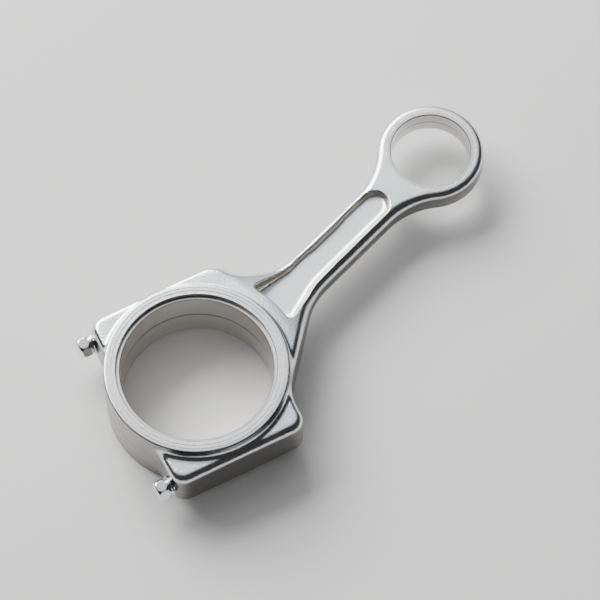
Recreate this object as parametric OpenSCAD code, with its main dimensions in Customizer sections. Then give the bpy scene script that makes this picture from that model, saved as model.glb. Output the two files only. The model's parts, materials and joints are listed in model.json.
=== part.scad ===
// Connecting rod with an obliquely split big end: rod, cap, two bearing half-shells,
// small-end bush, two cap bolts and their washers.
// Origin: centre of the big-end bore at half width. +X points to the small end, +Z runs along both bores.
// The cap, its bolts and the split face are turned about +Z by split_skew.

/* [Bearings] */
// Distance between the big-end and small-end centres
centre_distance = 98; // [90:0.5:110]
// Radius of the crankpin bearing surface, inside the half-shells
crank_r = 21.5; // [20.5:0.1:21.8]
// Radius of the bore that the half-shells are pressed into
housing_r = 22.5; // [22.3:0.1:23]
// Half width of the half-shells along the bore
shell_half = 9.3; // [8:0.1:10]
// Radius of the piston-pin bearing surface, inside the bush
pin_r = 11.5; // [10.5:0.1:11.8]
// Radius of the bore that the bush is pressed into
bush_r = 12.5; // [12.2:0.1:13]

/* [Big end] */
// Half width over the two machined ring faces
big_half = 10.5; // [9.5:0.1:12]
// Outer radius of the machined ring faces
ring_r = 26.1; // [25.5:0.1:26.5]
// Half thickness of the bolt shoulders
shoulder_half = 7.4; // [6.5:0.1:8.5]
// Half width of the bolt shoulders, across both bolts
shoulder_w = 28.5; // [27.8:0.1:30]
// How far the shoulders reach along the bolts, to the rod side
shoulder_rod = 20.4; // [18:0.1:22]
// How far the shoulders reach along the bolts, to the cap side
shoulder_cap = 20.6; // [18:0.1:21]
// Plan radius of the shoulder corners
shoulder_corner = 4; // [2:0.1:5]
// Angle of the bolts from the rod's long axis
split_skew = 20; // [10:1:30]

/* [Shank and small end] */
// Half thickness of the shank and the small end
shank_half = 4.1; // [3.5:0.1:5]
// Half width of the shank at its narrowest
shank_w = 6.6; // [6:0.1:7.5]
// Radius of the flares at both ends of the shank
flare_r = 22; // [18:0.5:26]
// Outer radius of the small end
eye_r = 15.45; // [15:0.05:16.5]
// Radius of the rounded edges of the small end
eye_round = 2.6; // [1:0.1:2.9]
// Thickness of the web that is left between the two pockets
web_t = 4; // [3:0.2:5]
// Half width of the pocket along the shank
pocket_w = 4.3; // [3.5:0.1:4.6]

/* [Bolts] */
// Nominal bolt radius
bolt_r = 1.5; // [1.25:0.05:1.75]
// Distance of each bolt axis from the centre of the bore
bolt_pitch = 24.6; // [24.4:0.1:25.5]
// Radial play of a bolt in its two holes
bolt_play = 0.05; // [0.02:0.01:0.1]
// Width across the flats of the bolt head
head_af = 5.5; // [5:0.1:6]
// Height of the round collar under the hexagon
collar_h = 0.8; // [0.4:0.1:1.2]
// Height of the hexagon of the bolt head
head_h = 3.4; // [2:0.1:3.5]
// Length of bolt that screws into the rod
bolt_grip = 13; // [10:0.5:16]
// Outer radius of the washer
washer_r = 3.1; // [2.8:0.1:3.4]
// Thickness of the washer
washer_t = 0.6; // [0.4:0.1:1]

/* [Hidden] */
$fn = 96;
silver = [0.80, 0.82, 0.85];
steel = [0.62, 0.63, 0.65];
shell_tone = [0.55, 0.55, 0.53];
bolt_tone = [0.70, 0.71, 0.73];
big = 200;

// Start of the flare towards the small end: the flare is tangent to the shank and to the eye
flare_c_y = shank_w + flare_r;
eye_flare_x = centre_distance - sqrt(pow(flare_r + eye_r, 2) - pow(flare_c_y, 2));
eye_touch = atan2(flare_c_y, centre_distance - eye_flare_x);
big_flare_x = 47;

function arc(cx, cy, r, a0, a1, n) =
    [for (i = [0:n]) [cx + r * cos(a0 + (a1 - a0) * i / n), cy + r * sin(a0 + (a1 - a0) * i / n)]];
function on_split(u, v) = [u * cos(split_skew) + v * sin(split_skew), -u * sin(split_skew) + v * cos(split_skew)];

// Turns a shape from the bolt frame (x along the bolts, towards the rod) into the row frame
module skewed() { rotate([0, 0, -split_skew]) children(); }

// Everything on the rod side of the split face
module rod_side() { skewed() translate([0, -big / 2, -big / 2]) cube([big, big, big]); }
module cap_side() { skewed() translate([-big, -big / 2, -big / 2]) cube([big, big, big]); }

module shoulder_plan() {
    c = shoulder_corner;
    polygon(concat(
        arc(shoulder_rod - c, shoulder_w - c, c, 0, 90, 8),
        arc(-shoulder_cap + c, shoulder_w - c, c, 90, 180, 8),
        arc(-shoulder_cap + c, -shoulder_w + c, c, 180, 270, 8),
        arc(shoulder_rod - c, -shoulder_w + c, c, 270, 360, 8)));
}
// The shoulders are solid beside each bolt, and the ring stands out round between them
module shoulders() {
    skewed() translate([0, 0, -shoulder_half]) linear_extrude(2 * shoulder_half) shoulder_plan();
}

// Ring with a small base fillet on each side, one turned profile
module big_ring() {
    rotate_extrude() polygon(concat(
        [[housing_r, -big_half], [ring_r, -big_half], [ring_r, -shoulder_half - 1.6]],
        arc(ring_r + 1.6, -shoulder_half - 1.6, 1.6, 180, 90, 6),
        arc(ring_r + 1.6, shoulder_half + 1.6, 1.6, 270, 180, 6),
        [[ring_r, big_half], [housing_r, big_half]]));
}

module small_eye() {
    e = eye_round;
    translate([centre_distance, 0, 0]) rotate_extrude() polygon(concat(
        [[bush_r, -shank_half]],
        arc(eye_r - e, -shank_half + e, e, -90, 0, 8),
        arc(eye_r - e, shank_half - e, e, 0, 90, 8),
        [[bush_r, shank_half]]));
}

// Plan of the shank: far side flares into the shoulder, near side runs onto the ring
module shank_plan() {
    polygon(concat(
        [[18, 19], [24, 19]],
        arc(big_flare_x, flare_c_y, flare_r, 209, 270, 12),
        arc(eye_flare_x, flare_c_y, flare_r, 270, 270 + 90 - eye_touch, 8),
        [[centre_distance - 4, 10], [centre_distance - 4, -10]],
        arc(eye_flare_x, -flare_c_y, flare_r, eye_touch, 90, 8),
        arc(big_flare_x, -flare_c_y, flare_r, 90, 120, 6),
        [[23.4, -14.6], [18, -17.6]]));
}
// Side profile: as thick as the shoulders by the ring, then down to the shank
module shank_side() {
    s = shoulder_half - 0.15; t = shank_half;
    rotate([90, 0, 0]) translate([0, 0, -60]) linear_extrude(120)
        polygon([[10, -s], [29, -s], [40, -t], [centre_distance + 20, -t],
                 [centre_distance + 20, t], [40, t], [29, s], [10, s]]);
}
module shank() {
    intersection() {
        translate([0, 0, -shoulder_half - 1]) linear_extrude(2 * shoulder_half + 2) shank_plan();
        shank_side();
    }
}

// Pocket on one face: round at the small end, widening towards the ring and ending along it
module pocket_plan() {
    w = pocket_w;
    difference() {
        polygon(concat(
            arc(74.2, 0, w, -90, 90, 16),
            [[47, w + 0.1], [42.5, w + 0.8], [38.5, w + 2.0], [34.5, w + 3.5], [31.5, w + 4.4]],
            [[20, w + 4.4], [20, -w - 4.4]],
            [[31.5, -w - 4.4], [34.5, -w - 3.5], [38.5, -w - 2.0], [42.5, -w - 0.8], [47, -w - 0.1]]));
        circle(r = ring_r + 2.6);
    }
}
module pockets() {
    for (m = [0, 1]) mirror([0, 0, m])
        translate([0, 0, web_t / 2]) linear_extrude(shoulder_half) pocket_plan();
}

module bolt_holes(r) {
    for (s = [-1, 1]) skewed() translate([-40, s * bolt_pitch, 0]) rotate([0, 90, 0]) cylinder(r = r, h = 40 + bolt_grip + 1);
}

module rod() {
    color(silver) difference() {
        union() {
            intersection() { union() { big_ring(); shoulders(); } rod_side(); }
            difference() { shank(); cylinder(r = ring_r - 1, h = 60, center = true); }
            small_eye();
        }
        pockets();
        translate([centre_distance, 0, 0]) cylinder(r = bush_r, h = 60, center = true);
        cylinder(r = housing_r, h = 60, center = true);
        bolt_holes(bolt_r + bolt_play);
    }
}
module cap() {
    color(silver) difference() {
        intersection() { union() { big_ring(); shoulders(); } cap_side(); }
        cylinder(r = housing_r, h = 60, center = true);
        bolt_holes(bolt_r + bolt_play);
    }
}

// Half-shell: a thin lining with a narrow oil groove at half width
module half_shell() {
    difference() {
        cylinder(r = housing_r, h = 2 * shell_half, center = true);
        cylinder(r = crank_r, h = 2 * shell_half + 2, center = true);
        cylinder(r = crank_r + 0.3, h = 0.5, center = true);
    }
}
module rod_half_shell() { color(shell_tone) intersection() { half_shell(); rod_side(); } }
module cap_half_shell() { color(shell_tone) intersection() { half_shell(); cap_side(); } }

module small_end_bush() {
    color(steel) translate([centre_distance, 0, 0]) difference() {
        cylinder(r = bush_r, h = 2 * shank_half, center = true);
        cylinder(r = pin_r, h = 2 * shank_half + 2, center = true);
    }
}

module washer() {
    skewed() translate([-shoulder_cap - washer_t, 0, 0]) rotate([0, 90, 0]) difference() {
        cylinder(r = washer_r, h = washer_t);
        translate([0, 0, -1]) cylinder(r = bolt_r + bolt_play, h = washer_t + 2);
    }
}
module cap_bolt() {
    u = shoulder_cap + washer_t;
    skewed() translate([-u, 0, 0]) {
        rotate([0, 90, 0]) cylinder(r = bolt_r, h = u + bolt_grip);
        rotate([0, -90, 0]) cylinder(r = washer_r - 0.2, h = collar_h);
        rotate([0, -90, 0]) rotate([0, 0, 30]) translate([0, 0, collar_h])
            cylinder(r = head_af / sqrt(3), h = head_h, $fn = 6);
    }
}
module at_bolt(s) { translate(concat(on_split(0, s * bolt_pitch), [0])) children(); }
module far_cap_bolt() { color(bolt_tone) at_bolt(1) cap_bolt(); }
module near_cap_bolt() { color(bolt_tone) at_bolt(-1) cap_bolt(); }
module far_washer() { color(steel) at_bolt(1) washer(); }
module near_washer() { color(steel) at_bolt(-1) washer(); }

rod();
cap();
rod_half_shell();
cap_half_shell();
small_end_bush();
far_cap_bolt();
near_cap_bolt();
far_washer();
near_washer();
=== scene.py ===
import json
import math
import bpy
import bmesh
import numpy as np
from mathutils import Matrix, Vector


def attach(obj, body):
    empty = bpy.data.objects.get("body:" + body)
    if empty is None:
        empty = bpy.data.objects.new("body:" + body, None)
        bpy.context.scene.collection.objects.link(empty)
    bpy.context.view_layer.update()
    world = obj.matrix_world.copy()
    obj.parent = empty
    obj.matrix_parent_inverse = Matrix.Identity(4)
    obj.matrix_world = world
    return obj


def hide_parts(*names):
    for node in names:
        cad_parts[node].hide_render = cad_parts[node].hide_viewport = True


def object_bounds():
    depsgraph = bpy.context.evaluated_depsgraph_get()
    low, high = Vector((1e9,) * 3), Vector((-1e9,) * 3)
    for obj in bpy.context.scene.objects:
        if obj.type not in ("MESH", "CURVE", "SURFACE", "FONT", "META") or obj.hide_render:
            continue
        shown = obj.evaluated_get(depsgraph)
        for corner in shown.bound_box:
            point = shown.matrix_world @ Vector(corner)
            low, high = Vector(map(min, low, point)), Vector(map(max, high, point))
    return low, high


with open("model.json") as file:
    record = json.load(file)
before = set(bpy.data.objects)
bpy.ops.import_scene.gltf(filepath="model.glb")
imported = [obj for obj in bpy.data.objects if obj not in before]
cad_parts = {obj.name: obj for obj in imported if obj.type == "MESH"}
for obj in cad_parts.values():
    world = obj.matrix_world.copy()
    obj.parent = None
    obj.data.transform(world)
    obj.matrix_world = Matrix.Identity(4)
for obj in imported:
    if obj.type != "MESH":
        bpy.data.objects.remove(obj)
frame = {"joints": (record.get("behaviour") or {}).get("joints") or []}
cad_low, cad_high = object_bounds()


# ---------------------------------------------------------------------------
# Rod and cap forging. One closed-die forging of light alloy, burnished bright,
# with generous die radii. It is forged whole, then the ring faces, the bores
# and the oblique split are machined, so rod and cap are cut from one body here.
# ---------------------------------------------------------------------------
mm = 0.001
joint_axes = {joint["name"]: joint for joint in frame["joints"]}
bolt_line = Vector(joint_axes["cap_off"]["axis"])        # points away from the rod, out of the cap
split_slant = math.atan2(bolt_line.y, -bolt_line.x)

centre_distance = 98.0
housing_radius = 22.5
ring_radius = 26.1
ring_height = 10.5
shoulder_height = 7.4
shoulder_half_width = 28.5
shoulder_rod_end = 20.4
shoulder_cap_end = 20.6
shoulder_corner = 4.4
shoulder_edge = 2.1
ring_root = 1.6
plan_fillet = 3.0
shank_height = 4.1
shank_half_width = 6.6
shank_start_x = 12.0
thin_from, thin_to = 27.0, 42.0            # reach from the bore over which the block thins to the shank
thin_inside, thin_outside = -3.0, 6.0      # and the same, measured out from the block's own edge
eye_edge_from, eye_edge_to = 74.0, 88.0
flank_end_x = 32.0
flank_inset = 2.5
shank_edge = 2.7
eye_edge = 1.9
flare_radius = 22.0
flare_height = shank_half_width + flare_radius
eye_radius = 15.45
eye_flare_x = centre_distance - math.sqrt((flare_radius + eye_radius) ** 2 - flare_height ** 2)
ring_flare_x = 47.0
near_flare_slope = math.radians(30)
seam_height = 0.08
seam_half_width = 0.4
pocket_floor = 2.0
pocket_half_width = 4.3
far_widen_x = 42.0
far_widen = 0.25
near_widen_x = 43.5
near_widen = 0.30
pocket_die_steps = ((44.0, 51.0, 0.22), (51.5, 64.0, -0.12), (64.5, 72.0, 0.16))
pocket_draft = 0.12
pocket_corner = 2.4
far_fillet = 0.7
near_fillet = 2.2
far_lip = 0.3
near_lip = 0.2
pocket_end_x = 74.0
pocket_start_x = 15.0
pocket_ring_end = 30.6
bush_seat_radius = 12.5
bolt_pitch = 24.6
bolt_hole_radius = 1.55
bolt_hole_depth = 14.0


def smoothstep(low, high, value):
    """Smooth rise from 0 at low to 1 at high; low may be the larger."""
    t = np.clip((value - low) / (high - low), 0, 1)
    return t * t * (3 - 2 * t)


def shank_outline(x, y):
    """Distance outside the shank's plan, which is tangent to the eye and flares into the big end."""
    q = np.abs(y)
    straight = q - shank_half_width
    to_eye = flare_radius - np.hypot(x - eye_flare_x, q - flare_height)
    # past the line from the flare's centre to the eye's centre, the eye is nearest
    side = (x - eye_flare_x) * flare_height + (q - flare_height) * (centre_distance - eye_flare_x)
    round_eye = np.hypot(x - centre_distance, q) - eye_radius
    to_ring = flare_radius - np.hypot(x - ring_flare_x, q - flare_height)
    start = (ring_flare_x - flare_radius * math.sin(near_flare_slope),
             -flare_height + flare_radius * math.cos(near_flare_slope))
    run_on = (x - start[0]) * math.sin(near_flare_slope) - (y - start[1]) * math.cos(near_flare_slope)
    near_ring = np.where((x < start[0]) & (y < 0), run_on, to_ring)
    out = np.where(x < ring_flare_x, near_ring, straight)
    out = np.where(x > eye_flare_x, np.where(side < 0, to_eye, round_eye), out)
    return out


def round_join(a, b, radius):
    """Union of two distances with a fillet of the given radius in the corner."""
    u = np.maximum(radius - a, 0)
    v = np.maximum(radius - b, 0)
    return np.maximum(radius, np.minimum(a, b)) - np.hypot(u, v)


def round_cut(a, b, radius):
    """Intersection of two distances with a rounded edge of the given radius."""
    u = np.maximum(radius + a, 0)
    v = np.maximum(radius + b, 0)
    return np.minimum(-radius, np.maximum(a, b)) + np.hypot(u, v)


def solid_body(x, y, z):
    """Distance to the forging before its pockets, in millimetres, below zero inside, and its half height."""
    rise = np.abs(z)
    reach = np.hypot(x, y)
    along = x * math.cos(split_slant) - y * math.sin(split_slant)
    across = x * math.sin(split_slant) + y * math.cos(split_slant)

    # bolt shoulders: a rounded block turned with the split
    half_length = (shoulder_rod_end + shoulder_cap_end) / 2
    middle = (shoulder_rod_end - shoulder_cap_end) / 2
    bx = np.abs(along - middle) - (half_length - shoulder_corner)
    by = np.abs(across) - (shoulder_half_width - shoulder_corner)
    block_plan = np.hypot(np.maximum(bx, 0), np.maximum(by, 0)) + np.minimum(np.maximum(bx, by), 0)
    block_plan = block_plan - shoulder_corner

    # shank and eye grow out of the block in one plan; away from the block they thin down
    shank_plan = np.maximum(shank_outline(x, y), shank_start_x - x)
    flank = np.maximum(shank_plan, across - (shoulder_half_width - flank_inset))
    shank_plan = np.where(x < flank_end_x, flank, shank_plan)
    # the dies met at half height, where a fine seam stands proud of the walls
    seam = seam_height * smoothstep(0, seam_half_width, rise)
    plan = round_join(block_plan, shank_plan, plan_fillet) + seam
    fall = smoothstep(thin_from, thin_to, reach) * smoothstep(thin_inside, thin_outside, block_plan)
    thick = shoulder_height + (shank_height - shoulder_height) * fall
    edge = shoulder_edge + (shank_edge - shoulder_edge) * fall
    edge = edge + (eye_edge - shank_edge) * smoothstep(eye_edge_from, eye_edge_to, x)
    body = round_cut(plan, rise - thick, edge)

    ring = reach - ring_radius + seam
    return round_join(body, ring, ring_root), thick


def forging(x, y, z):
    """Distance to the whole forging, with a drafted pocket on each face."""
    body, thick = solid_body(x, y, z)
    rise = np.abs(z)
    reach = np.hypot(x, y)
    near = smoothstep(1, -2.5, y)
    ahead = np.where(y > 0, far_widen_x, near_widen_x) - x
    widen = np.where(y > 0, far_widen, near_widen)
    half = pocket_half_width + widen * (np.hypot(ahead, 3) + ahead) / 2
    for start, end, step in pocket_die_steps:
        stretch = smoothstep(start, start + 0.8, x) * (1 - smoothstep(end - 1, end, x))
        half = half + np.where(y > 0, step, 0) * stretch
    draft = pocket_draft * (rise - thick)
    round_end = np.hypot(x - pocket_end_x, y) - pocket_half_width
    to_side = np.where(x > pocket_end_x, round_end, np.abs(y) - half)
    to_end = pocket_ring_end - reach
    dish = round_cut(to_side - draft, to_end - draft, pocket_corner)
    dish = np.maximum(dish, pocket_start_x - x)
    # the far wall is crisp, and the near one is dished into its rail
    dished = near * smoothstep(-3, 0, to_side - to_end)
    dish = round_cut(dish, pocket_floor - rise, far_fillet + (near_fillet - far_fillet) * dished)
    return round_cut(body, -dish, far_lip + (near_lip - far_lip) * dished)


def skin_of(distance, low, high, step):
    """Closed quad skin on a grid where the distance changes sign, then drawn onto the true surface."""
    axes = [np.arange(low[i], high[i] + step, step) for i in range(3)]
    grid = distance(axes[0][:, None, None], axes[1][None, :, None], axes[2][None, None, :])
    inside = grid < 0
    total = np.zeros(tuple(n - 1 for n in grid.shape) + (3,))
    count = np.zeros(total.shape[:3])
    corners = [(i, j, k) for i in (0, 1) for j in (0, 1) for k in (0, 1)]

    def corner(field, c):
        return field[c[0]:field.shape[0] - 1 + c[0], c[1]:field.shape[1] - 1 + c[1],
                     c[2]:field.shape[2] - 1 + c[2]]

    for a in corners:
        for axis in range(3):
            if a[axis]:
                continue
            b = list(a)
            b[axis] = 1
            fa, fb = corner(grid, a), corner(grid, b)
            crossed = (fa < 0) != (fb < 0)
            share = np.where(crossed, fa / np.where(crossed, fa - fb, 1), 0)
            for i in range(3):
                total[..., i] += np.where(crossed, a[i] + (share if i == axis else 0), 0)
            count += crossed
    cells = np.argwhere(count > 0)
    number = -np.ones(count.shape, int)
    number[tuple(cells.T)] = np.arange(len(cells))
    points = total[tuple(cells.T)] / count[tuple(cells.T)][:, None] + cells
    points = np.array(low) + points * step

    faces = []
    for axis in range(3):
        u, v = [i for i in range(3) if i != axis]
        first = np.take(inside, np.arange(grid.shape[axis] - 1), axis)
        second = np.take(inside, np.arange(1, grid.shape[axis]), axis)
        edges = np.argwhere(first != second)
        edges = edges[(edges[:, u] > 0) & (edges[:, v] > 0)
                      & (edges[:, u] < grid.shape[u] - 1) & (edges[:, v] < grid.shape[v] - 1)]
        filled_first = first[tuple(edges.T)]
        quad = []
        for du, dv in ((-1, -1), (0, -1), (0, 0), (-1, 0)):
            cell = edges.copy()
            cell[:, u] += du
            cell[:, v] += dv
            quad.append(number[tuple(cell.T)])
        quad = np.array(quad).T
        flip = filled_first if axis != 1 else ~filled_first
        quad[~flip] = quad[~flip][:, ::-1]
        faces.append(quad)
    faces = np.vstack(faces)

    nudge = 0.01
    for _ in range(3):
        x, y, z = points.T
        here = distance(x, y, z)
        slope = np.stack([
            distance(x + nudge, y, z) - distance(x - nudge, y, z),
            distance(x, y + nudge, z) - distance(x, y - nudge, z),
            distance(x, y, z + nudge) - distance(x, y, z - nudge)], axis=1) / (2 * nudge)
        steep = np.maximum((slope ** 2).sum(1), 0.25)
        move = -here[:, None] * slope / steep[:, None]
        points = points + np.clip(move, -step / 2, step / 2)
    return points, faces


grain = 0.4
skin_low = (-34.0, -37.0, -12.0 - grain * 0.37)
skin_high = (centre_distance + eye_radius + 2, 37.0, 12.5)
# the ring stands past both machined faces, so that the facing cut leaves a crisp edge
points, faces = skin_of(lambda x, y, z: np.maximum(forging(x, y, z), np.abs(z) - 11.6),
                        skin_low, skin_high, grain)
forging_mesh = bpy.data.meshes.new("forging")
forging_mesh.from_pydata((points * mm).tolist(), [], faces.tolist())
forging_mesh.update()
blank = bpy.data.objects.new("forging_blank", forging_mesh)
bpy.context.scene.collection.objects.link(blank)


def turned_cutter(name, profile, centre_x=0.0, segments=360):
    """A closed solid of revolution about a vertical line: profile is (radius, height) pairs in mm."""
    mesh = bpy.data.meshes.new(name)
    rows = []
    for radius, height in profile:
        rows.append([(centre_x * mm + radius * mm * math.cos(2 * math.pi * i / segments),
                      radius * mm * math.sin(2 * math.pi * i / segments), height * mm)
                     for i in range(segments)])
    flat = [point for row in rows for point in row]
    quads = []
    n = len(rows)
    for r in range(n - 1):
        for i in range(segments):
            j = (i + 1) % segments
            quads.append((r * segments + i, r * segments + j, (r + 1) * segments + j, (r + 1) * segments + i))
    quads.append(tuple(range(segments))[::-1])
    quads.append(tuple((n - 1) * segments + i for i in range(segments)))
    mesh.from_pydata(flat, [], quads)
    mesh.update()
    cutter = bpy.data.objects.new(name, mesh)
    bpy.context.scene.collection.objects.link(cutter)
    return cutter


def slab_cutter(name, low, high, turn=0.0):
    """A closed box between two corners in mm, turned about the bore's axis."""
    mesh = bpy.data.meshes.new(name)
    shape = bmesh.new()
    bmesh.ops.create_cube(shape, size=1)
    for vertex in shape.verts:
        vertex.co = Vector([(low[i] + (vertex.co[i] + 0.5) * (high[i] - low[i])) * mm for i in range(3)])
    bmesh.ops.rotate(shape, verts=shape.verts, cent=(0, 0, 0), matrix=Matrix.Rotation(turn, 3, "Z"))
    shape.to_mesh(mesh)
    shape.free()
    cutter = bpy.data.objects.new(name, mesh)
    bpy.context.scene.collection.objects.link(cutter)
    return cutter


def place_on_bolt(mesh, side):
    """Turns a piece built along +Z onto a bolt's line: its origin is level with the bore, +Z points out."""
    mesh.transform(Matrix.Translation((0, side * bolt_pitch * mm, 0)) @ Matrix.Rotation(-math.pi / 2, 4, "Y"))
    mesh.transform(Matrix.Rotation(-split_slant, 4, "Z"))


def machine(piece, cutter, how):
    """One machining step: cuts the piece, keeps the result in its mesh and throws the cutter away."""
    step = piece.modifiers.new("cut", "BOOLEAN")
    step.operation = how
    step.solver = "MANIFOLD"
    step.object = cutter
    graph = bpy.context.evaluated_depsgraph_get()
    cut_mesh = bpy.data.meshes.new_from_object(piece.evaluated_get(graph))
    piece.modifiers.clear()
    piece.data = cut_mesh
    bpy.data.objects.remove(cutter)


chamfer = 0.25
ring_edge = 0.6
tool_lines = (0.36, 0.64)
far_out = 13.0
big_bore = turned_cutter("big_bore", [
    (housing_radius + chamfer + far_out - ring_height, -far_out), (housing_radius, -ring_height + chamfer),
    (housing_radius, ring_height - chamfer), (housing_radius + chamfer + far_out - ring_height, far_out)])
machine(blank, big_bore, "DIFFERENCE")
face_profile = [(1, 0)]
for share in tool_lines:
    line = housing_radius + share * (ring_radius - housing_radius)
    face_profile += [(line - 0.08, 0), (line, -0.08), (line + 0.08, 0)]
edge_radius = ring_radius - seam_height + 0.02
for step in range(7):
    turn = math.radians(15 * step)
    face_profile.append((edge_radius - ring_edge * (1 - math.sin(turn)), -ring_edge * (1 - math.cos(turn))))
face_profile.append((60, -ring_edge))
upper_face = [(radius, ring_height + drop) for radius, drop in face_profile] + [(60, far_out)]
lower_face = [(radius, -height) for radius, height in reversed(upper_face)]
machine(blank, turned_cutter("upper_facing", upper_face), "DIFFERENCE")
machine(blank, turned_cutter("lower_facing", lower_face), "DIFFERENCE")
machine(blank, turned_cutter("eye_bore", [(bush_seat_radius, -6), (bush_seat_radius, 6)], centre_distance),
        "DIFFERENCE")
for side in (-1, 1):
    hole_profile = [(bolt_hole_radius, -bolt_hole_depth), (bolt_hole_radius, 40)]
    hole = turned_cutter("bolt_hole", hole_profile, segments=48)
    place_on_bolt(hole.data, side)
    machine(blank, hole, "DIFFERENCE")

cap_forging = blank.copy()
cap_forging.data = blank.data.copy()
cap_forging.name = "cap_forging"
bpy.context.scene.collection.objects.link(cap_forging)
rod_forging = blank
rod_forging.name = "rod_forging"
machine(rod_forging, slab_cutter("sawn_cap", (-60, -60, -20), (0, 60, 20), -split_slant), "DIFFERENCE")
machine(cap_forging, slab_cutter("sawn_rod", (0, -60, -20), (160, 60, 20), -split_slant), "DIFFERENCE")


def burnished(name, tone, dull, mottle, mark, wall=(1.0, 1.0, 1.0)):
    """Bright forged metal: a fine-grained skin with soft mottling in its gloss; a wall colour other than
    white paints shade onto its upright walls.
    """
    metal = bpy.data.materials.new(name)
    metal.use_nodes = True
    nodes, links = metal.node_tree.nodes, metal.node_tree.links
    shader = nodes["Principled BSDF"]
    shader.inputs["Metallic"].default_value = 1.0
    place = nodes.new("ShaderNodeTexCoord")
    cloud = nodes.new("ShaderNodeTexNoise")
    cloud.inputs["Scale"].default_value = 220
    cloud.inputs["Detail"].default_value = 4
    links.new(place.outputs["Object"], cloud.inputs["Vector"])
    gloss = nodes.new("ShaderNodeMapRange")
    gloss.inputs["To Min"].default_value = dull - mottle
    gloss.inputs["To Max"].default_value = dull + mottle
    links.new(cloud.outputs["Fac"], gloss.inputs["Value"])
    links.new(gloss.outputs["Result"], shader.inputs["Roughness"])
    shade = nodes.new("ShaderNodeMix")
    shade.data_type = "RGBA"
    shade.inputs["A"].default_value = (*[c * 0.93 for c in tone], 1)
    shade.inputs["B"].default_value = (*tone, 1)
    links.new(cloud.outputs["Fac"], shade.inputs["Factor"])
    # painted shade: upright walls take a darker, browner tone than the faces, in place of the shadowed floor
    # they would mirror
    upright = nodes.new("ShaderNodeSeparateXYZ")
    links.new(place.outputs["Normal"], upright.inputs[0])
    level = nodes.new("ShaderNodeMath")
    level.operation = "ABSOLUTE"
    links.new(upright.outputs["Z"], level.inputs[0])
    unshaded_share = nodes.new("ShaderNodeMapRange")
    unshaded_share.interpolation_type = "SMOOTHSTEP"
    unshaded_share.inputs["From Min"].default_value = 0.05
    unshaded_share.inputs["From Max"].default_value = 0.6
    links.new(level.outputs[0], unshaded_share.inputs["Value"])
    painted_wall_shade = nodes.new("ShaderNodeMix")
    painted_wall_shade.data_type = "RGBA"
    painted_wall_shade.inputs["A"].default_value = (*[c * w for c, w in zip(tone, wall)], 1)
    links.new(shade.outputs["Result"], painted_wall_shade.inputs["B"])
    links.new(unshaded_share.outputs["Result"], painted_wall_shade.inputs["Factor"])
    links.new(painted_wall_shade.outputs["Result"], shader.inputs["Base Color"])
    fine = nodes.new("ShaderNodeTexNoise")
    fine.inputs["Scale"].default_value = 2400
    fine.inputs["Detail"].default_value = 2
    links.new(place.outputs["Object"], fine.inputs["Vector"])
    bump = nodes.new("ShaderNodeBump")
    bump.inputs["Strength"].default_value = mark
    bump.inputs["Distance"].default_value = 0.0001
    links.new(fine.outputs["Fac"], bump.inputs["Height"])
    links.new(bump.outputs["Normal"], shader.inputs["Normal"])
    return metal


def turned(name, tone, dull, centre_x, groove, mark):
    """Machined metal whose fine rings run round a bore, as a facing tool leaves them."""
    metal = burnished(name, tone, dull, 0.03, 0.05)
    nodes, links = metal.node_tree.nodes, metal.node_tree.links
    place = nodes["Texture Coordinate"]
    apart = nodes.new("ShaderNodeVectorMath")
    apart.operation = "MULTIPLY_ADD"
    apart.inputs[1].default_value = (1, 1, 0)
    apart.inputs[2].default_value = (-centre_x * mm, 0, 0)
    links.new(place.outputs["Object"], apart.inputs[0])
    reach = nodes.new("ShaderNodeVectorMath")
    reach.operation = "LENGTH"
    links.new(apart.outputs[0], reach.inputs[0])
    rings = nodes.new("ShaderNodeTexNoise")
    rings.noise_dimensions = "1D"
    rings.inputs["Scale"].default_value = groove
    rings.inputs["Detail"].default_value = 5
    links.new(reach.outputs["Value"], rings.inputs["W"])
    bump = nodes.new("ShaderNodeBump")
    bump.inputs["Strength"].default_value = mark
    bump.inputs["Distance"].default_value = 0.00006
    links.new(rings.outputs["Fac"], bump.inputs["Height"])
    links.new(bump.outputs["Normal"], nodes["Principled BSDF"].inputs["Normal"])
    return metal


# the forged skin's wall colour is painted shade: its upright walls are darkened as if mirroring the shadowed
# floor
forged_skin = burnished("forged_skin", (0.88, 0.90, 0.93), 0.21, 0.06, 0.7, wall=(0.31, 0.29, 0.26))
facing = turned("ring_facing", (0.86, 0.88, 0.91), 0.27, 0.0, 3500, 0.45)
bored = turned("bored_wall", (0.70, 0.69, 0.67), 0.30, 0.0, 900, 0.1)
pocket_grain = burnished("pocket_floor", (0.68, 0.70, 0.72), 0.36, 0.08, 0.6)
pocket_wall = burnished("pocket_wall", (0.90, 0.87, 0.81), 0.30, 0.08, 0.8)


def slope_of(points):
    """Unit outward direction of the forged skin at each point, in millimetres."""
    x, y, z = points.T
    nudge = 0.02
    slope = np.stack([forging(x + nudge, y, z) - forging(x - nudge, y, z),
                      forging(x, y + nudge, z) - forging(x, y - nudge, z),
                      forging(x, y, z + nudge) - forging(x, y, z - nudge)], axis=1)
    return slope / np.maximum(np.linalg.norm(slope, axis=1), 1e-9)[:, None]


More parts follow.
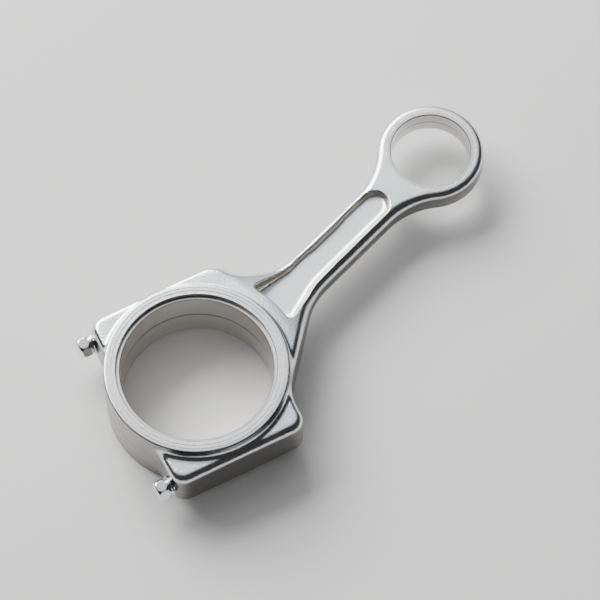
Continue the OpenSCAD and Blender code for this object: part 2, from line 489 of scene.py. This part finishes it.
def dress(piece):
    """Gives each face its finish, and the forged skin the exact normals of its true surface."""
    mesh = piece.data
    mesh.materials.clear()
    for metal in (forged_skin, facing, bored, pocket_grain, pocket_wall):
        mesh.materials.append(metal)
    count = len(mesh.polygons)
    centre = np.empty(count * 3)
    mesh.polygons.foreach_get("center", centre)
    centre = centre.reshape(-1, 3) / mm
    normal = np.empty(count * 3)
    mesh.polygons.foreach_get("normal", normal)
    normal = normal.reshape(-1, 3)
    reach = np.hypot(centre[:, 0], centre[:, 1])
    skin = (np.abs(forging(*centre.T)) < 0.12) & ((slope_of(centre) * normal).sum(1) > 0.7)
    finish = np.where(skin, 0, 2)
    finish[~skin & (np.abs(centre[:, 2]) > ring_height - 0.7) & (reach > housing_radius)] = 1
    finish[skin & (solid_body(*centre.T)[0] < -0.35)] = 4
    finish[skin & (np.abs(np.abs(centre[:, 2]) - pocket_floor) < 0.06) & (np.abs(normal[:, 2]) > 0.97)] = 3
    mesh.polygons.foreach_set("material_index", finish.astype(np.int32))
    mesh.polygons.foreach_set("use_smooth", np.ones(count, bool))
    mesh.set_sharp_from_angle(angle=math.radians(28))

    sides = np.empty(count, np.int32)
    mesh.polygons.foreach_get("loop_total", sides)
    vertex = np.empty(len(mesh.loops), np.int32)
    mesh.loops.foreach_get("vertex_index", vertex)
    place = np.empty(len(mesh.vertices) * 3)
    mesh.vertices.foreach_get("co", place)
    true = slope_of(place.reshape(-1, 3) / mm)[vertex]
    true[~np.repeat(skin, sides)] = 0
    mesh.normals_split_custom_set(true.tolist())
    mesh.update()


for piece, node, body in ((rod_forging, "rod", "rod"), (cap_forging, "cap", "cap")):
    dress(piece)
    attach(piece, body)
    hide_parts(node)


# ---------------------------------------------------------------------------
# Bearing half-shells. Thin steel-backed linings pressed into rod and cap, set
# back from the ring faces, with a shallow groove round the middle.
# ---------------------------------------------------------------------------
crank_radius = 21.5
shell_height = 9.3


def turned_ring(name, profile, centre_x, start, sweep, segments):
    """A closed outline of (radius, height) points, turned about an upright line; half turns get flat ends."""
    whole = sweep > 2 * math.pi - 0.001
    rows = segments if whole else segments + 1
    around = len(profile)
    points = []
    for row in range(rows):
        angle = start + sweep * row / segments
        points += [((centre_x + radius * math.cos(angle)) * mm, radius * math.sin(angle) * mm, height * mm)
                   for radius, height in profile]
    quads = []
    for row in range(segments):
        after = (row + 1) % rows
        for k in range(around):
            m = (k + 1) % around
            quads.append((row * around + k, after * around + k, after * around + m, row * around + m))
    if not whole:
        quads.append(tuple(range(around)))
        quads.append(tuple(segments * around + k for k in reversed(range(around))))
    mesh = bpy.data.meshes.new(name)
    mesh.from_pydata(points, [], quads)
    mesh.update()
    shape = bmesh.new()
    shape.from_mesh(mesh)
    bmesh.ops.recalc_face_normals(shape, faces=shape.faces)
    shape.to_mesh(mesh)
    shape.free()
    for face in mesh.polygons:
        face.use_smooth = True
    mesh.set_sharp_from_angle(angle=math.radians(28))
    ring = bpy.data.objects.new(name, mesh)
    bpy.context.scene.collection.objects.link(ring)
    return ring


lip = 0.2
groove_half = 0.25
groove_deep = 0.3
shell_outline = [
    (housing_radius, -shell_height), (crank_radius + lip, -shell_height), (crank_radius, -shell_height + lip),
    (crank_radius, -groove_half), (crank_radius + groove_deep, -groove_half),
    (crank_radius + groove_deep, groove_half), (crank_radius, groove_half),
    (crank_radius, shell_height - lip), (crank_radius + lip, shell_height), (housing_radius, shell_height)]
shell_metal = turned("shell_lining", (0.72, 0.70, 0.67), 0.30, 0.0, 600, 0.06)
for node, body, start in (("rod_half_shell", "rod", -math.pi / 2), ("cap_half_shell", "cap", math.pi / 2)):
    shell = turned_ring(node + "_lining", shell_outline, 0.0, start - split_slant, math.pi, 180)
    shell.data.materials.append(shell_metal)
    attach(shell, body)
    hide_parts(node)


# ---------------------------------------------------------------------------
# Small-end bush. A thin sleeve pressed into the eye and bored to the pin,
# flush with both faces, with a small lead-in at each end.
# ---------------------------------------------------------------------------
pin_radius = 11.5
lead_in = 0.25
oil_line = 0.15
bush_outline = [
    (bush_seat_radius, -shank_height), (pin_radius + lead_in, -shank_height),
    (pin_radius, -shank_height + lead_in), (pin_radius, -oil_line), (pin_radius + oil_line, -oil_line),
    (pin_radius + oil_line, oil_line), (pin_radius, oil_line), (pin_radius, shank_height - lead_in),
    (pin_radius + lead_in, shank_height), (bush_seat_radius, shank_height)]
bush_metal = turned("bush_bore", (0.74, 0.73, 0.71), 0.26, centre_distance, 1500, 0.1)
bush = turned_ring("pin_bush", bush_outline, centre_distance, 0.0, 2 * math.pi, 240)
bush.data.materials.append(bush_metal)
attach(bush, "rod")
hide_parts("small_end_bush")


# ---------------------------------------------------------------------------
# Cap bolts and washers. Bright plated hexagon screws, each with a thin collar
# under a domed head and a thin hard washer; they come out through the cap.
# ---------------------------------------------------------------------------
bolt_radius = 1.5
bolt_grip = 13.0
thread_pitch = 0.5
thread_depth = 0.27
head_flats = 5.5
head_height = 3.4
collar_radius = 2.9
collar_height = 0.8
washer_radius = 3.1
washer_height = 0.6
head_seat = shoulder_cap_end + washer_height


def lathe_rows(name, rows, segments):
    """Closed piece along +Z from rows, each a list of (radius, height) pairs, one for every step round."""
    points, quads = [], []
    for row in rows:
        for k, (radius, height) in enumerate(row):
            angle = 2 * math.pi * k / segments
            points.append((radius * math.cos(angle) * mm, radius * math.sin(angle) * mm, height * mm))
    for r in range(len(rows) - 1):
        for k in range(segments):
            m = (k + 1) % segments
            quads.append((r * segments + k, r * segments + m, (r + 1) * segments + m, (r + 1) * segments + k))
    quads.append(tuple(reversed(range(segments))))
    quads.append(tuple((len(rows) - 1) * segments + k for k in range(segments)))
    mesh = bpy.data.meshes.new(name)
    mesh.from_pydata(points, [], quads)
    mesh.update()
    for face in mesh.polygons:
        face.use_smooth = True
    return mesh


def bolt_mesh(name):
    """Threaded shank, collar and hexagon head in one closed skin."""
    segments = 72
    steps = range(segments)

    def level(radius, height):
        return [(radius, height)] * segments

    rows = [level(0.9, -bolt_grip), level(1.15, -bolt_grip + 0.25)]
    height = -bolt_grip + 0.35
    part = 0.0
    while height < -0.6:
        turns = [2 * math.pi * (part + k / segments) for k in steps]
        rows.append([(bolt_radius - thread_depth * (0.5 + 0.5 * math.cos(turn)), height) for turn in turns])
        height += thread_pitch / 6
        part += 1 / 6
    rows += [level(bolt_radius, -0.3), level(bolt_radius, head_seat)]
    rows += [level(collar_radius - 0.12, head_seat), level(collar_radius, head_seat + 0.12),
             level(collar_radius, head_seat + collar_height * 0.45),
             level(collar_radius - 0.3, head_seat + collar_height * 0.6),
             level(collar_radius - 0.3, head_seat + collar_height * 0.8)]
    half = head_flats / 2
    top = head_seat + collar_height + head_height

    def hexagon(k, limit):
        corner = (2 * math.pi * k / segments + math.pi / 6) % (math.pi / 3) - math.pi / 6
        return min(half / math.cos(corner), limit)

    for share, limit in ((0.0, 2.8), (0.1, 3.05), (0.24, 3.17), (0.60, 3.17), (0.74, 3.05), (0.84, 2.86),
                         (0.92, 2.6)):
        rows.append([(hexagon(k, limit), head_seat + collar_height + share * head_height) for k in steps])
    rows += [level(2.3, top - 0.12), level(1.9, top - 0.04), level(0.8, top)]
    mesh = lathe_rows(name, rows, segments)
    mesh.set_sharp_from_angle(angle=math.radians(35))
    return mesh


bolt_metal = burnished("bolt_plating", (0.84, 0.85, 0.87), 0.13, 0.04, 0.12)
for side, place in ((1, "far"), (-1, "near")):
    bolt_shape = bolt_mesh(place + "_screw")
    place_on_bolt(bolt_shape, side)
    bolt_shape.materials.append(bolt_metal)
    screw = bpy.data.objects.new(place + "_screw", bolt_shape)
    bpy.context.scene.collection.objects.link(screw)
    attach(screw, place + "_bolt")
    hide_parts(place + "_cap_bolt")

    bore = bolt_hole_radius
    seat = shoulder_cap_end + 0.01
    edge = 0.12
    outline = [(bore, seat), (washer_radius - edge, seat), (washer_radius, seat + edge),
               (washer_radius, head_seat - edge), (washer_radius - edge, head_seat), (bore, head_seat)]
    washer = turned_ring(place + "_plain_washer", outline, 0.0, 0.0, 2 * math.pi, 72)
    place_on_bolt(washer.data, side)
    washer.data.materials.append(bolt_metal)
    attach(washer, place + "_washer")
    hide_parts(place + "_washer")


# ---------------------------------------------------------------------------
# Floor, lights and camera: a plain pale floor, one large soft light on the far
# left, a weak fill from the ceiling, and a room that is dark on the other side.
# ---------------------------------------------------------------------------
floor_mesh = bpy.data.meshes.new("floor")
floor_size = 3.0
floor_z = cad_low.z
floor_mesh.from_pydata([(-floor_size, -floor_size, floor_z), (floor_size, -floor_size, floor_z),
                        (floor_size, floor_size, floor_z), (-floor_size, floor_size, floor_z)],
                       [], [(0, 1, 2, 3)])
floor = bpy.data.objects.new("floor", floor_mesh)
bpy.context.scene.collection.objects.link(floor)
paper = bpy.data.materials.new("paper")
paper.use_nodes = True
paper.node_tree.nodes["Principled BSDF"].inputs["Base Color"].default_value = (0.80, 0.79, 0.785, 1)
paper.node_tree.nodes["Principled BSDF"].inputs["Roughness"].default_value = 0.75
floor_mesh.materials.append(paper)

view_turn = math.radians(-137.18)
view_height = math.radians(63.87)
view_distance = 1.0425
view_roll = math.radians(-0.18)
aim = Vector((0.03856, -0.00357, 0.0))
back = Vector((math.cos(view_height) * math.cos(view_turn), math.cos(view_height) * math.sin(view_turn),
               math.sin(view_height)))
camera_data = bpy.data.cameras.new("camera")
camera_data.lens = 220.4
camera_data.sensor_width = 36
camera_data.clip_end = 20
camera = bpy.data.objects.new("camera", camera_data)
camera.location = aim + back * view_distance
level_view = back.to_track_quat("Z", "Y").to_matrix()
camera.rotation_euler = (level_view @ Matrix.Rotation(view_roll, 3, "Z")).to_euler()
bpy.context.scene.collection.objects.link(camera)
bpy.context.scene.camera = camera


def toward(turn, height):
    """Direction of a light: turn is measured from the image's right, anticlockwise, in degrees."""
    spin = view_turn + math.pi / 2 + math.radians(turn)
    rise = math.radians(height)
    return Vector((math.cos(rise) * math.cos(spin), math.cos(rise) * math.sin(spin), math.sin(rise)))


def soft_light(name, turn, height, distance, size, power, colour):
    """A rectangular softbox aimed at the rod."""
    lamp = bpy.data.lights.new(name, "AREA")
    lamp.shape = "RECTANGLE"
    lamp.size, lamp.size_y = size
    lamp.energy = power
    lamp.color = colour
    holder = bpy.data.objects.new(name, lamp)
    holder.location = Vector((0.04, 0, 0)) + toward(turn, height) * distance
    holder.rotation_euler = toward(turn, height).to_track_quat("Z", "Y").to_euler()
    bpy.context.scene.collection.objects.link(holder)
    return holder


soft_light("key", 128, 38, 1.05, (0.98, 0.68), 26, (1.0, 0.99, 0.975))
# light bounced off the ceiling reaches the paper; the metal mirrors the dark room instead
ceiling = soft_light("ceiling", 0, 88, 1.6, (2.4, 2.4), 8, (0.98, 0.99, 1.0))
ceiling.visible_glossy = False

# the room is bright on the key's side and dark elsewhere
room = bpy.data.worlds.new("room")
bpy.context.scene.world = room
room.use_nodes = True
nodes, links = room.node_tree.nodes, room.node_tree.links
way = nodes.new("ShaderNodeTexCoord")
facing_key = nodes.new("ShaderNodeVectorMath")
facing_key.operation = "DOT_PRODUCT"
facing_key.inputs[1].default_value = toward(110, 42)
links.new(way.outputs["Generated"], facing_key.inputs[0])
shade = nodes.new("ShaderNodeMapRange")
shade.interpolation_type = "SMOOTHSTEP"
shade.inputs["From Min"].default_value = 0.60
shade.inputs["From Max"].default_value = 0.97
shade.inputs["To Min"].default_value = 0.04
shade.inputs["To Max"].default_value = 1.1
links.new(facing_key.outputs["Value"], shade.inputs["Value"])
links.new(shade.outputs["Result"], nodes["Background"].inputs["Strength"])
nodes["Background"].inputs["Color"].default_value = (0.95, 0.97, 1.0, 1)

bpy.context.view_layer.update()
